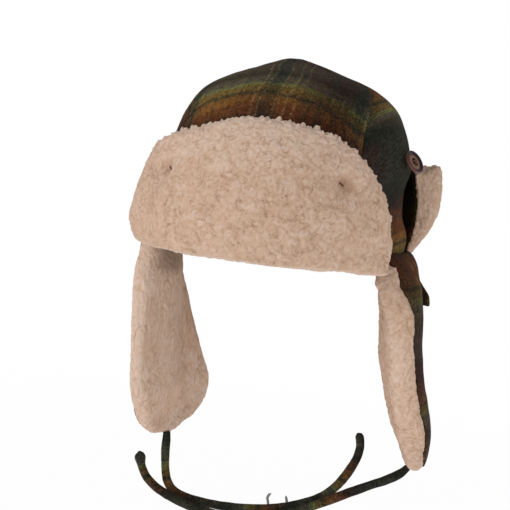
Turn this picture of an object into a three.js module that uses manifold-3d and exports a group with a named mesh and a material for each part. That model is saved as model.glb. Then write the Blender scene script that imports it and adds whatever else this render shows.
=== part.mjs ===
// Aviator hat of tartan wool and fleece, in millimetres.
// Z is up, the forehead faces -Y and the wearer's left is +X.
// The origin is the middle of the head opening, level with the crown's lower edge.

import * as THREE from 'three';
import { mergeVertices } from 'three/addons/utils/BufferGeometryUtils.js';
import Module from 'manifold-3d';

// Cloth and gaps
const woolThickness = 2.4;
const seat = 0.35;
const pileSeat = 0.8;
const seamGap = 0.5;
const seamDip = 0.8;

// Crown outer face, from the lower edge to the peak; lean is its shift to the wearer's left
const crownSections = [
  { height: 0, halfWidth: 88, halfLength: 106, lean: 0.5 },
  { height: 38, halfWidth: 86, halfLength: 104.5, lean: 4 },
  { height: 67, halfWidth: 81.8, halfLength: 100, lean: 4.5 },
  { height: 80, halfWidth: 77.5, halfLength: 95, lean: 4.5 },
  { height: 94, halfWidth: 71, halfLength: 87.5, lean: 5 },
  { height: 103, halfWidth: 61.5, halfLength: 76, lean: 7 },
  { height: 110, halfWidth: 51, halfLength: 63, lean: 7 },
  { height: 116, halfWidth: 36, halfLength: 45, lean: 4 },
  { height: 121, halfWidth: 23, halfLength: 29, lean: 1 },
  { height: 125.5, halfWidth: 11, halfLength: 14, lean: 0 },
  { height: 128.8, halfWidth: 1.3, halfLength: 1.5, lean: 0 },
];
// Turn from the front or the back to each of the four seams
const crownSeam = [
  { height: 0, turn: 44 },
  { height: 70, turn: 46.5 },
  { height: 89, turn: 51.5 },
  { height: 100, turn: 59 },
  { height: 107, turn: 66 },
  { height: 118, turn: 70 },
  { height: 129, turn: 70 },
];
const seamRidge = { rise: 2.6, height: 98, tall: 12, turnSpread: 14 };
const crownDents = [
  { turn: 22, height: 92, wide: 24, tall: 9, depth: 1.6 },
  { turn: -30, height: 100, wide: 20, tall: 8, depth: 1.4 },
  { turn: 84, height: 96, wide: 16, tall: 12, depth: 1.2 },
  { turn: -88, height: 94, wide: 18, tall: 10, depth: 1.5 },
  { turn: 160, height: 94, wide: 26, tall: 10, depth: 1.7 },
  { turn: -150, height: 88, wide: 22, tall: 9, depth: 1.4 },
];

// Flaps that are turned up. edge is the height of the top edge by turn from the flap's middle.
// lean has, by share of the height, the gap to the crown, the pile and the half turn it spans
const frontFlap = {
  middle: -1.5,
  insideHalfTurn: 63.5,
  edge: [
    { turn: -61, height: 8 },
    { turn: -59.5, height: 24 },
    { turn: -55.5, height: 44 },
    { turn: -48.5, height: 59 },
    { turn: -40.5, height: 64 },
    { turn: -22.5, height: 70 },
    { turn: -5.5, height: 78 },
    { turn: 7.5, height: 78 },
    { turn: 21.5, height: 76 },
    { turn: 31.5, height: 72.3 },
    { turn: 41, height: 64.5 },
    { turn: 47.5, height: 56 },
    { turn: 53, height: 44 },
    { turn: 57, height: 29 },
    { turn: 59.5, height: 16 },
    { turn: 61, height: 8 },
  ],
  lean: [
    { share: 0, gap: 0.6, pile: 9.5, halfTurn: 61 },
    { share: 0.25, gap: 2.8, pile: 10.5, halfTurn: 61 },
    { share: 0.55, gap: 3, pile: 10.5, halfTurn: 61 },
    { share: 0.85, gap: 2, pile: 9.5, halfTurn: 61 },
    { share: 1, gap: 1.4, pile: 9, halfTurn: 61 },
  ],
  tacks: [
    { turn: 34.5, height: 45.5 },
    { turn: -36, height: 44 },
  ],
  columns: 25,
  tallRows: 9,
};
const backFlap = {
  middle: 180,
  insideHalfTurn: 72,
  edge: [
    { turn: -75, height: 60 },
    { turn: -71, height: 65 },
    { turn: -60, height: 67 },
    { turn: 0, height: 67 },
    { turn: 60, height: 67 },
    { turn: 71, height: 65 },
    { turn: 75, height: 60 },
  ],
  lean: [
    { share: 0, gap: 0.6, pile: 5, halfTurn: 70 },
    { share: 0.15, gap: 1.4, pile: 8, halfTurn: 73 },
    { share: 0.35, gap: 1.6, pile: 13.9, halfTurn: 74.6 },
    { share: 0.6, gap: 1.6, pile: 17.1, halfTurn: 75 },
    { share: 0.85, gap: 1.6, pile: 19, halfTurn: 75 },
    { share: 1, gap: 1.6, pile: 19.2, halfTurn: 75 },
  ],
  tacks: [],
  columns: 21,
  tallRows: 8,
};
const flapRadius = 105;
const insideFleece = { height: 12, pile: 6 };
const pileOverhang = 3.6;
const pileLip = [0, 1.4, 3.1];
const lipNear = [1.3, 0.3];
const lipRound = [0.45, 0.74, 0.9, 1];
const tackDent = { depth: 6, wide: 9 };

// Ear flaps: both edges by drop below the crown, and how far the middle bows outward
const earFlapLeftRows = [
  { drop: 0.4, frontOut: 80.4, frontBack: -41, rearOut: 85.4, rearBack: 27, cup: 5 },
  { drop: 8, frontOut: 86.5, frontBack: -44, rearOut: 88.5, rearBack: 24, cup: 9.8 },
  { drop: 16, frontOut: 97, frontBack: -50, rearOut: 88, rearBack: 22, cup: 13.4 },
  { drop: 29, frontOut: 105, frontBack: -52, rearOut: 85.5, rearBack: 23.5, cup: 12.5 },
  { drop: 48, frontOut: 111, frontBack: -51, rearOut: 88, rearBack: 29, cup: 9.5 },
  { drop: 72, frontOut: 115.5, frontBack: -49, rearOut: 89, rearBack: 36, cup: 8 },
  { drop: 94, frontOut: 120.5, frontBack: -43, rearOut: 95, rearBack: 39, cup: 9.5 },
  { drop: 112, frontOut: 123.5, frontBack: -35, rearOut: 100.5, rearBack: 36, cup: 10 },
  { drop: 127, frontOut: 123.5, frontBack: -23, rearOut: 108.5, rearBack: 27, cup: 6.5 },
  { drop: 138, frontOut: 121.5, frontBack: -10, rearOut: 116, rearBack: 11, cup: 2 },
];
const earFlapRightRows = [
  { drop: 0.4, frontOut: 79.4, frontBack: -41, rearOut: 84.4, rearBack: 27, cup: 5 },
  { drop: 8, frontOut: 82.5, frontBack: -42.5, rearOut: 85, rearBack: 16, cup: 5 },
  { drop: 16, frontOut: 83.5, frontBack: -46.5, rearOut: 86, rearBack: 11, cup: 5.5 },
  { drop: 32, frontOut: 82.5, frontBack: -50, rearOut: 83.5, rearBack: 14, cup: 6.5 },
  { drop: 55, frontOut: 81.5, frontBack: -49, rearOut: 78, rearBack: 24, cup: 8.5 },
  { drop: 85, frontOut: 80, frontBack: -47, rearOut: 71, rearBack: 34, cup: 10 },
  { drop: 110, frontOut: 79.5, frontBack: -43, rearOut: 61, rearBack: 40, cup: 11 },
  { drop: 127, frontOut: 79.5, frontBack: -36, rearOut: 61, rearBack: 36, cup: 10 },
  { drop: 138, frontOut: 79.5, frontBack: -27, rearOut: 65, rearBack: 25, cup: 7 },
  { drop: 144.5, frontOut: 78, frontBack: -15, rearOut: 70.5, rearBack: 10, cup: 3 },
];
const earSeat = 1.4;
const earPile = 10;
const earLip = [0.8, 2.4];
const earTipTrim = [6, 2];
const earColumns = 12;
const earRows = 12;
const tab = { across: 0.79, topRow: 1.5, bottomRow: 3.15, width: 13, thickness: 2.4, standOff: 6 };

// Buttons
const buttonHole = { radius: 0.9, spacing: 1.7 };
const buttonSeats = {
  left: { hand: 1, turn: 81.6, facing: 66, height: 64.2, out: 3.2, tilt: 32.5 },
  right: { hand: -1, turn: 88, facing: 88, height: 54, out: 0.5, tilt: 6 },
};
const buttonProfile = [
  { radius: 0, height: 0 },
  { radius: 7.4, height: 0 },
  { radius: 8.2, height: 0.7 },
  { radius: 8.2, height: 1.9 },
  { radius: 7.6, height: 2.6 },
  { radius: 6.5, height: 2.4 },
  { radius: 5.7, height: 1.6 },
  { radius: 4.6, height: 1.5 },
  { radius: 3.7, height: 1.9 },
  { radius: 0, height: 1.4 },
];

// Ties: middle line from the flap's tip to the free end
const tieWidth = 6.4;
const tieRightRoute = [
  [-65.2, -2, -148],
  [-64.6, -3, -153.5],
  [-64.2, -4, -161],
  [-63.1, -5, -168.5],
  [-61.5, -6.5, -176],
  [-58.6, -8, -182.9],
  [-53.3, -9.5, -187.8],
  [-43.9, -10, -190.8],
  [-28.2, -10, -192],
  [-8.7, -10, -191.4],
  [8.8, -10, -189.1],
  [26.6, -10, -184.7],
  [41.8, -10, -178.8],
  [53.8, -10, -171.8],
  [63.4, -10, -163],
  [69.6, -9.5, -153.6],
  [73.7, -9, -145.5],
  [76.2, -8, -138.5],
  [76.8, -7, -132.3],
  [75.6, -6, -126.3],
];
const tieLeftRoute = [
  [109.8, -1, -142.7],
  [107, -4, -145.6],
  [103, -8, -148.2],
  [97, -12, -151.1],
  [87.8, -16, -155.2],
  [75.2, -18.5, -161.8],
  [61.7, -19, -169.9],
  [46.6, -19, -178.6],
  [31.1, -19, -185.8],
  [12.3, -19, -191.9],
  [-7.8, -19, -195],
  [-25.7, -19, -195.1],
  [-40.2, -19, -192.9],
  [-52.9, -18.5, -189.4],
  [-64, -17.5, -185],
  [-72.6, -16, -179.3],
  [-77.5, -14.5, -172.6],
  [-80.3, -13, -165.7],
];

const radians = THREE.MathUtils.degToRad;
const mix = THREE.MathUtils.lerp;
const clamp = THREE.MathUtils.clamp;

// Smooth reading of one column of a table
function read(table, key, column, at) {
  const last = table.length - 1;
  const x = clamp(at, table[0][key], table[last][key]);
  let i = 0;
  while (i < last - 1 && x > table[i + 1][key]) {
    i += 1;
  }
  const slope = (a, b) => (table[b][column] - table[a][column]) / (table[b][key] - table[a][key]);
  const width = table[i + 1][key] - table[i][key];
  const k = (x - table[i][key]) / width;
  const m0 = slope(Math.max(i - 1, 0), i + 1) * width;
  const m1 = slope(i, Math.min(i + 2, last)) * width;
  const y0 = table[i][column];
  const y1 = table[i + 1][column];
  const k2 = k * k;
  const k3 = k2 * k;
  return (2 * k3 - 3 * k2 + 1) * y0 + (k3 - 2 * k2 + k) * m0 + (3 * k2 - 2 * k3) * y1 + (k3 - k2) * m1;
}

// A closed wall: a unit box whose corners are moved to place(across, up, through)
function bentWall(acrossSteps, upSteps, throughSteps, place) {
  const box = new THREE.BoxGeometry(1, 1, 1, acrossSteps, upSteps, throughSteps);
  box.deleteAttribute('normal');
  box.deleteAttribute('uv');
  const wall = mergeVertices(box);
  const position = wall.attributes.position;
  for (let i = 0; i < position.count; i += 1) {
    const p = place(position.getX(i) + 0.5, position.getY(i) + 0.5, position.getZ(i) + 0.5);
    position.setXYZ(i, p.x, p.y, p.z);
  }
  return wall;
}

// Crown
const crownLine = new THREE.CatmullRomCurve3(
  crownSections.map((row) => new THREE.Vector3(row.halfWidth, row.halfLength, row.height)),
  false,
  'centripetal',
);
const crownSamples = crownLine.getPoints(240).map((p) => ({ height: p.z, halfWidth: p.x, halfLength: p.y }));

function turnDistance(a, b) {
  const d = Math.abs(a - b) % 360;
  return Math.min(d, 360 - d);
}

function bell(x, width) {
  return Math.exp(-((x / width) ** 2));
}

function crownSwell(turn, height, halfWidth) {
  const seam = read(crownSeam, 'height', 'turn', height);
  let swell = 0;
  for (const seamTurn of [seam, 180 - seam, -seam, seam - 180]) {
    const near = bell(turnDistance(turn, seamTurn), seamRidge.turnSpread);
    swell += seamRidge.rise * near * bell(height - seamRidge.height, seamRidge.tall);
  }
  for (const dent of crownDents) {
    const sideways = radians(turnDistance(turn, dent.turn)) * halfWidth;
    swell -= dent.depth * bell(sideways, dent.wide) * bell(height - dent.height, dent.tall);
  }
  return swell;
}

// One panel, from seam to seam; widePanel is the front or the back one
function crownPanel(middle, widePanel, columns) {
  return bentWall(columns, 12, 1, (across, up, through) => {
    const line = crownLine.getPointAt(up);
    const along = crownLine.getTangentAt(up);
    const level = new THREE.Vector2(along.z, -(along.x + along.y) / 2).normalize();
    const seam = read(crownSeam, 'height', 'turn', line.z);
    const trim = THREE.MathUtils.radToDeg(seamGap / (line.x + line.y));
    const side = 2 * across - 1;
    const turn = middle + side * ((widePanel ? seam : 90 - seam) - trim);
    const dip = through * seamDip * side ** 16 * Math.min(1, line.x / 12);
    const lift = crownSwell(turn, line.z, line.x) - dip + (through - 1) * woolThickness;
    const a = radians(turn);
    return new THREE.Vector3(
      read(crownSections, 'height', 'lean', line.z) + (line.x + level.x * lift) * Math.sin(a),
      -(line.y + level.x * lift) * Math.cos(a),
      line.z + level.y * lift,
    );
  });
}

// A point that stands off the crown's plain outline at a given height
function beside(turn, height, standOff) {
  const level = Math.max(height, 0);
  const halfWidth = read(crownSamples, 'height', 'halfWidth', level);
  const halfLength = read(crownSamples, 'height', 'halfLength', level);
  const a = radians(turn);
  return new THREE.Vector3(
    read(crownSections, 'height', 'lean', level) + (halfWidth + standOff) * Math.sin(a),
    -(halfLength + standOff) * Math.cos(a),
    height,
  );
}

// Steps along a width, close together at both ends for the lip that covers the wool's raw edge
function lipStep(index, count, width) {
  if (index < pileLip.length) {
    return pileLip[index];
  }
  if (count - index < pileLip.length) {
    return width - pileLip[count - index];
  }
  const inner = pileLip.length - 1;
  return mix(pileLip[inner], width - pileLip[inner], (index - inner) / (count - 2 * inner));
}

function tackPress(flap, turn, height) {
  let press = 0;
  for (const tack of flap.tacks) {
    const sideways = radians(turnDistance(turn, tack.turn)) * flapRadius;
    press += bell(Math.hypot(sideways, height - tack.height), tackDent.wide);
  }
  return press;
}

// Turn from the flap's middle and distance to the nearer end at one of its upright lines
function flapStation(flap, index, halfTurn) {
  const width = 2 * radians(halfTurn) * flapRadius;
  return (lipStep(index, flap.columns, width) / width - 0.5) * 2 * halfTurn;
}

// Wool side of a flap that is turned up
function flapShell(flap) {
  const inner = pileLip.length - 1;
  const columns = flap.columns - 2 * inner;
  return bentWall(columns, flap.tallRows - inner, 1, (across, up, through) => {
    const halfTurn = read(flap.lean, 'share', 'halfTurn', up);
    const limit = halfTurn - THREE.MathUtils.radToDeg(pileOverhang / flapRadius);
    const station = flapStation(flap, Math.round(across * columns) + inner, halfTurn);
    const offMiddle = clamp(station, -limit, limit);
    const top = read(flap.edge, 'turn', 'height', offMiddle);
    const height = mix(0.9, top - pileOverhang, up);
    const gap = read(flap.lean, 'share', 'gap', height / top);
    return beside(flap.middle + offMiddle, height, gap + through * woolThickness);
  });
}

// Fleece side: a short leg inside the crown, a roll under the rim and the tall leg outside
function flapFleece(flap) {
  const legRows = 2;
  const rollRows = 4;
  const foot = flap.lean[0];
  const insideMiddle = -(woolThickness + pileSeat + insideFleece.pile / 2);
  const outsideMiddle = foot.gap + woolThickness + pileSeat + foot.pile / 2;
  const rollMiddle = (insideMiddle + outsideMiddle) / 2;
  const rollRadius = (outsideMiddle - insideMiddle) / 2;
  const rollDepth = (insideFleece.pile + foot.pile) / 4 + 0.3;
  const rows = legRows + rollRows + flap.tallRows;
  return bentWall(flap.columns, rows, 2, (across, up, through) => {
    const index = Math.round(across * flap.columns);
    const level = Math.round(up * rows);
    const rolled = clamp((level - legRows) / rollRows, 0, 1);
    const share = clamp((level - legRows - rollRows) / flap.tallRows, 0, 1);
    const halfTurn = mix(flap.insideHalfTurn, read(flap.lean, 'share', 'halfTurn', share), rolled);
    const offMiddle = flapStation(flap, index, halfTurn);
    const turn = flap.middle + offMiddle;
    const fromEnd = Math.min(index, flap.columns - index);
    if (rolled < 1) {
      const angle = Math.PI * rolled;
      const rise = (1 - Math.min(level / legRows, 1)) * insideFleece.height;
      const round = lipRound[Math.min(fromEnd, level + 1, 3)];
      const lift = (through - 0.5) * mix(insideFleece.pile, foot.pile, rolled) * round;
      const standOff = rollMiddle - (rollRadius + lift) * Math.cos(angle);
      return beside(turn, rise - seat - (rollDepth + lift) * Math.sin(angle), standOff);
    }
    const top = read(flap.edge, 'turn', 'height', offMiddle);
    const fromTop = rows - level;
    const lipTop = top - pileLip[pileLip.length - 1];
    const lowShare = (level - legRows - rollRows) / (flap.tallRows - pileLip.length + 1);
    const height = fromTop < pileLip.length ? top - pileLip[fromTop] : mix(-seat, lipTop, lowShare);
    const gap = read(flap.lean, 'share', 'gap', clamp(height / top, 0, 1));
    const edge = Math.min(fromEnd, fromTop);
    const near = gap + (edge < 2 && level > legRows + rollRows ? lipNear[edge] : woolThickness + pileSeat);
    const pile = read(flap.lean, 'share', 'pile', share) * lipRound[Math.min(edge, 3)];
    const far = gap + woolThickness + pileSeat + pile - tackDent.depth * tackPress(flap, turn, height);
    return beside(turn, height, mix(near, far, through));
  });
}

// Ear flap: the line from its front edge to its rear edge, bowed outward; hand is 1 for the left
function earFlap(hand, rows) {
  const front = new THREE.CatmullRomCurve3(
    rows.map((row) => new THREE.Vector3(row.frontOut, row.frontBack, -row.drop)),
  );
  const rear = new THREE.CatmullRomCurve3(
    rows.map((row) => new THREE.Vector3(row.rearOut, row.rearBack, -row.drop)),
  );
  const bow = new THREE.CatmullRomCurve3(rows.map((row) => new THREE.Vector3(row.cup, 0, 0)));
  const length = (row) => front.getPoint(row).distanceTo(rear.getPoint(row));
  // A point at a distance behind the front edge, standing off the wool's outer face
  function point(row, behind, standOff) {
    const from = front.getPoint(row);
    const chord = rear.getPoint(row).sub(from);
    const across = behind / chord.length();
    const outward = new THREE.Vector3(chord.y, -chord.x, 0).normalize();
    const bowed = bow.getPoint(row).x * 4 * across * (1 - across);
    const p = from.addScaledVector(chord, across).addScaledVector(outward, bowed + standOff);
    p.x *= hand;
    return p;
  }
  return { hand, length, point, forward: (across) => (hand > 0 ? across : 1 - across) };
}

// How far the fleece stands beyond the wool's edges; none where the flap joins the crown
function earBeyond(row) {
  return pileOverhang * clamp(row * 8, 0, 1);
}

function earStation(flap, row, index, trim) {
  const width = flap.length(row) + 2 * earBeyond(row);
  return mix(trim, width - trim, lipStep(index, earColumns, width) / width) - earBeyond(row);
}

function earShell(flap) {
  const inner = pileLip.length - 1;
  const columns = earColumns - 2 * inner;
  return bentWall(columns, earRows, 1, (across, up, through) => {
    const row = 1 - up;
    const station = earStation(flap, row, Math.round(flap.forward(across) * columns) + inner, 0);
    const atEnd = across === 0 || across === 1;
    const edge = flap.forward(across) * flap.length(row);
    return flap.point(row, atEnd ? edge : station, (through - 1) * woolThickness);
  });
}

// Fleece side, with a short leg inside the crown
function earFleece(flap) {
  const tipRows = pileLip.length - 1;
  const insideRows = 2;
  const rows = tipRows + earRows + insideRows;
  const rim = crownSections[0];
  return bentWall(earColumns, rows, 2, (across, up, through) => {
    const index = Math.round(flap.forward(across) * earColumns);
    const level = Math.round(up * rows);
    const row = 1 - clamp((level - tipRows) / earRows, 0, 1);
    const fromSide = Math.min(index, earColumns - index);
    if (level > rows - insideRows) {
      const p = flap.point(0, earStation(flap, 0, index, 0), 0);
      const turn = Math.atan2((p.x - rim.lean) / rim.halfWidth, -p.y / rim.halfLength);
      const rise = (1 - (rows - level) / insideRows) * insideFleece.height;
      const pile = insideFleece.pile * lipRound[Math.min(fromSide, rows - level + 1, 3)];
      const standOff = -(woolThickness + pileSeat) - (1 - through) * pile;
      return beside(THREE.MathUtils.radToDeg(turn), rise, standOff);
    }
    const below = level < tipRows ? pileOverhang - pileLip[level] : 0;
    const station = earStation(flap, row, index, level < tipRows ? earTipTrim[level] : 0);
    const edge = Math.min(fromSide, level);
    const wrapped = level < tipRows ? 0 : clamp((row - 0.17) * 9, 0, 1);
    const lip = mix(lipNear[edge] - woolThickness, earLip[edge], wrapped);
    const near = row > 0.12 && edge < 2 ? lip : -(woolThickness + earSeat);
    const pile = mix(insideFleece.pile, earPile, clamp(row * 6, 0, 1)) * lipRound[Math.min(edge, 3)];
    const p = flap.point(row, station, mix(-(woolThickness + earSeat) - pile, near, through));
    p.z -= below;
    return p;
  });
}

function earTab(flap, rows) {
  const last = rows.length - 1;
  return bentWall(3, 6, 1, (across, up, through) => {
    const row = mix(tab.bottomRow, tab.topRow, up) / last;
    const width = tab.width * mix(0.62, 1, clamp(up * 6, 0, 1));
    const behind = tab.across * flap.length(row) + (flap.forward(across) - 0.5) * width;
    const gap = pileSeat + tab.standOff * (1 - up) ** 1.5;
    return flap.point(row, behind, gap + through * tab.thickness);
  });
}

// Button with a raised rim, a dished middle and four holes
const wasm = await Module();
wasm.setup();

function toSolid(geometry) {
  geometry.deleteAttribute('normal');
  geometry.deleteAttribute('uv');
  const merged = mergeVertices(geometry, 1e-4);
  const index = merged.index.array;
  const faces = [];
  for (let i = 0; i < index.length; i += 3) {
    const [a, b, c] = [index[i], index[i + 1], index[i + 2]];
    if (a !== b && b !== c && c !== a) {
      faces.push(a, b, c);
    }
  }
  const mesh = new wasm.Mesh({
    numProp: 3,
    vertProperties: new Float32Array(merged.attributes.position.array),
    triVerts: new Uint32Array(faces),
  });
  return new wasm.Manifold(mesh);
}

function toGeometry(solid) {
  const mesh = solid.getMesh();
  const geometry = new THREE.BufferGeometry();
  geometry.setAttribute('position', new THREE.BufferAttribute(new Float32Array(mesh.vertProperties), 3));
  geometry.setIndex(new THREE.BufferAttribute(new Uint32Array(mesh.triVerts), 1));
  return geometry;
}

function buttonDisc() {
  const profile = buttonProfile.map((row) => new THREE.Vector2(row.radius, row.height));
  let disc = toSolid(new THREE.LatheGeometry(profile, 16));
  for (const [sx, sz] of [[1, 1], [1, -1], [-1, 1], [-1, -1]]) {
    const hole = new THREE.CylinderGeometry(buttonHole.radius, buttonHole.radius, 12, 6);
    hole.translate(sx * buttonHole.spacing, 0, sz * buttonHole.spacing);
    disc = disc.subtract(toSolid(hole));
  }
  return toGeometry(disc);
}

function sideButton(seat) {
  const disc = buttonDisc();
  const turn = radians(seat.hand * seat.facing);
  const tilt = radians(seat.tilt);
  const facing = new THREE.Vector3(
    Math.sin(turn) * Math.cos(tilt),
    -Math.cos(turn) * Math.cos(tilt),
    Math.sin(tilt),
  );
  disc.applyQuaternion(new THREE.Quaternion().setFromUnitVectors(new THREE.Vector3(0, 1, 0), facing));
  const place = beside(seat.hand * seat.turn, seat.height, seat.out);
  disc.translate(place.x, place.y, place.z);
  return disc;
}

// Tie, a sewn tube of wool
function tieTube(route, steps) {
  const path = new THREE.CatmullRomCurve3(route.map((p) => new THREE.Vector3(...p)));
  const section = new THREE.Shape();
  section.absarc(0, 0, tieWidth / 2, 0, 2 * Math.PI, false);
  const tube = new THREE.ExtrudeGeometry(section, { steps, extrudePath: path, curveSegments: 5 });
  tube.deleteAttribute('normal');
  tube.deleteAttribute('uv');
  return mergeVertices(tube, 1e-4);
}

// The hat
const hat = new THREE.Group();
hat.name = 'aviator_hat';

const wool = new THREE.MeshStandardMaterial({ color: 0x2e3029, roughness: 0.95, metalness: 0 });
const fleece = new THREE.MeshStandardMaterial({ color: 0xc8aa91, roughness: 1, metalness: 0 });
const horn = new THREE.MeshStandardMaterial({ color: 0x2c1618, roughness: 0.4, metalness: 0 });

function add(name, geometry, material) {
  const mesh = new THREE.Mesh(geometry, material);
  mesh.name = name;
  hat.add(mesh);
}

const earLeft = earFlap(1, earFlapLeftRows);
const earRight = earFlap(-1, earFlapRightRows);

add('crown_front_panel', crownPanel(0, true, 14), wool);
add('crown_left_panel', crownPanel(90, false, 12), wool);
add('crown_back_panel', crownPanel(180, true, 14), wool);
add('crown_right_panel', crownPanel(270, false, 12), wool);
add('front_flap_shell', flapShell(frontFlap), wool);
add('front_flap_fleece', flapFleece(frontFlap), fleece);
add('back_flap_shell', flapShell(backFlap), wool);
add('back_flap_fleece', flapFleece(backFlap), fleece);
add('ear_flap_left_shell', earShell(earLeft), wool);
add('ear_flap_left_fleece', earFleece(earLeft), fleece);
add('ear_flap_left_tab', earTab(earLeft, earFlapLeftRows), wool);
add('ear_flap_right_shell', earShell(earRight), wool);
add('ear_flap_right_fleece', earFleece(earRight), fleece);
add('ear_flap_right_tab', earTab(earRight, earFlapRightRows), wool);
add('button_left', sideButton(buttonSeats.left), horn);
add('button_right', sideButton(buttonSeats.right), horn);
add('tie_left', tieTube(tieLeftRoute, 17), wool);
add('tie_right', tieTube(tieRightRoute, 17), wool);

export default hat;
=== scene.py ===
import math

import bmesh
import bpy
import numpy as np
from mathutils import Matrix, Vector
from mathutils.bvhtree import BVHTree


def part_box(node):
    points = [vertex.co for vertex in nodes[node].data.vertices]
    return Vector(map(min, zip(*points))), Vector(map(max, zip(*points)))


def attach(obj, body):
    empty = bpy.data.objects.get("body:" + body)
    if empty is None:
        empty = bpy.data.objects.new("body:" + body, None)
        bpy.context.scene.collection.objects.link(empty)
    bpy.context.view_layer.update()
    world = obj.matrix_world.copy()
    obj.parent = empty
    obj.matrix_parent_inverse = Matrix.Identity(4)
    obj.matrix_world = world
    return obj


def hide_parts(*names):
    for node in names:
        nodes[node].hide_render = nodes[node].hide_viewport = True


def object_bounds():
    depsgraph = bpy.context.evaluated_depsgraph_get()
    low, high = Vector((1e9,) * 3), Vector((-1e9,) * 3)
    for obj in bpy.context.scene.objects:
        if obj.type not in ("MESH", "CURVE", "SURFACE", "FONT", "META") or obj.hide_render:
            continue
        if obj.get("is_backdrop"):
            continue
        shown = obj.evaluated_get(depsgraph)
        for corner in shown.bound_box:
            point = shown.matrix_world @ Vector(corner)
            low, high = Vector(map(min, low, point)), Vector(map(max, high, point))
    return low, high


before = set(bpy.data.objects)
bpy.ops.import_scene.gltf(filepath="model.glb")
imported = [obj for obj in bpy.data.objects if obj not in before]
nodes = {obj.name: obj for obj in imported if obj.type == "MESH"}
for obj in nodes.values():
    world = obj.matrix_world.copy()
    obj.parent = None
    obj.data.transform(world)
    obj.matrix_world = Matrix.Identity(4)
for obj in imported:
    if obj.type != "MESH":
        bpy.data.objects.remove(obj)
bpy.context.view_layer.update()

scene = bpy.context.scene
scene.view_settings.view_transform = "Standard"
scene.view_settings.look = "None"
MM = 0.001
TO_MM = 1000
UP = Vector((0, 0, 1))

# Camera: turned to the wearer's left of the hat, a little above the rim, with the slight tilt of the picture
EYE_TURNED, EYE_LIFTED, PICTURE_TILT = 13.4, 3.7, 6.6
EYE_DISTANCE = 0.7
SENSOR_WIDTH = 36
# In pixels: the picture's width, the focal length, and the hat's origin right of and above the middle
PICTURE_WIDTH = 510
FOCAL_LENGTH = 994
ORIGIN_RIGHT, ORIGIN_ABOVE = 22, 13.5


def way_out(turned, lifted=0.0):
    """A direction: degrees from the forehead toward the wearer's left, and degrees up."""
    turn, lift = math.radians(turned), math.radians(lifted)
    return Vector((math.sin(turn) * math.cos(lift), -math.cos(turn) * math.cos(lift), math.sin(lift)))


def link_object(name, data):
    made = bpy.data.objects.new(name, data)
    scene.collection.objects.link(made)
    return made


def photo_camera():
    eye = EYE_DISTANCE * way_out(EYE_TURNED, EYE_LIFTED)
    tilt = math.radians(PICTURE_TILT)
    ahead = -eye.normalized()
    level = ahead.cross(UP).normalized()
    upright = level.cross(ahead)
    across = math.cos(tilt) * level + math.sin(tilt) * upright
    up = math.cos(tilt) * upright - math.sin(tilt) * level
    ahead = (ahead - (ORIGIN_RIGHT / FOCAL_LENGTH) * across - (ORIGIN_ABOVE / FOCAL_LENGTH) * up).normalized()
    across = (across - ahead * across.dot(ahead)).normalized()
    up = across.cross(ahead)
    lens = bpy.data.cameras.new("photo_camera")
    lens.sensor_width = SENSOR_WIDTH
    lens.lens = SENSOR_WIDTH * FOCAL_LENGTH / PICTURE_WIDTH
    camera = link_object("photo_camera", lens)
    camera.matrix_world = Matrix.Translation(eye) @ Matrix((across, up, -ahead)).transposed().to_4x4()
    scene.camera = camera


photo_camera()


# Shader helpers
def dyed(red, green, blue):
    """A colour from 0 to 255 as the shader takes it."""
    channels = [c / 255 for c in (red, green, blue)]
    return [c / 12.92 if c < 0.04045 else ((c + 0.055) / 1.055) ** 2.4 for c in channels] + [1.0]


def feed(tree, node, inputs):
    """Sets or links a node's inputs."""
    for name, value in inputs.items():
        if isinstance(value, bpy.types.NodeSocket):
            tree.links.new(value, node.inputs[name])
        else:
            node.inputs[name].default_value = value


def put(tree, kind, inputs=None, **settings):
    """A new node with its settings and its inputs."""
    made = tree.nodes.new(kind)
    for name, value in settings.items():
        setattr(made, name, value)
    feed(tree, made, inputs or {})
    return made


def on_object(tree):
    return put(tree, "ShaderNodeTexCoord").outputs["Object"]


def painted(tree, name):
    """A value that the mesh carries at each point."""
    return put(tree, "ShaderNodeAttribute", attribute_name=name).outputs["Fac"]


def sums(tree, operation, first, second=0.0, third=0.0):
    """One Math node."""
    return put(tree, "ShaderNodeMath", {0: first, 1: second, 2: third}, operation=operation).outputs[0]


def centred(tree, value):
    return sums(tree, "SUBTRACT", value, 0.5)


def repeated(tree, place, repeat):
    """Where a place lies in a pattern that repeats, from 0 to 1."""
    return sums(tree, "FRACT", sums(tree, "DIVIDE", place, repeat))


def spread(tree, value, low, high, to_low=0.0, to_high=1.0):
    """A value stretched smoothly from one range to another."""
    inputs = {"Value": value, "From Min": low, "From Max": high, "To Min": to_low, "To Max": to_high}
    return put(tree, "ShaderNodeMapRange", inputs, interpolation_type="SMOOTHSTEP").outputs["Result"]


def blend_colours(tree, share, first, second):
    """A Mix node for colours, whose colour sockets go by number."""
    return put(tree, "ShaderNodeMix", {"Factor": share, 6: first, 7: second}, data_type="RGBA").outputs[2]


def stripes(tree, place, stops):
    """A colour ramp with its stops given as (place, colour)."""
    made = put(tree, "ShaderNodeValToRGB", {"Fac": place})
    band = made.color_ramp.elements
    while len(band) < len(stops):
        band.new(0.5)
    for stop, (at, colour) in zip(band, stops):
        stop.position = at
        stop.color = colour
    return made.outputs["Color"]


def noise(tree, where, scale, detail=2.0, roughness=0.5):
    inputs = {"Vector": where, "Scale": scale, "Detail": detail, "Roughness": roughness}
    return put(tree, "ShaderNodeTexNoise", inputs).outputs["Fac"]


def relief(tree, height, strength, distance):
    inputs = {"Strength": strength, "Distance": distance, "Height": height}
    return put(tree, "ShaderNodeBump", inputs).outputs["Normal"]


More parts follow.
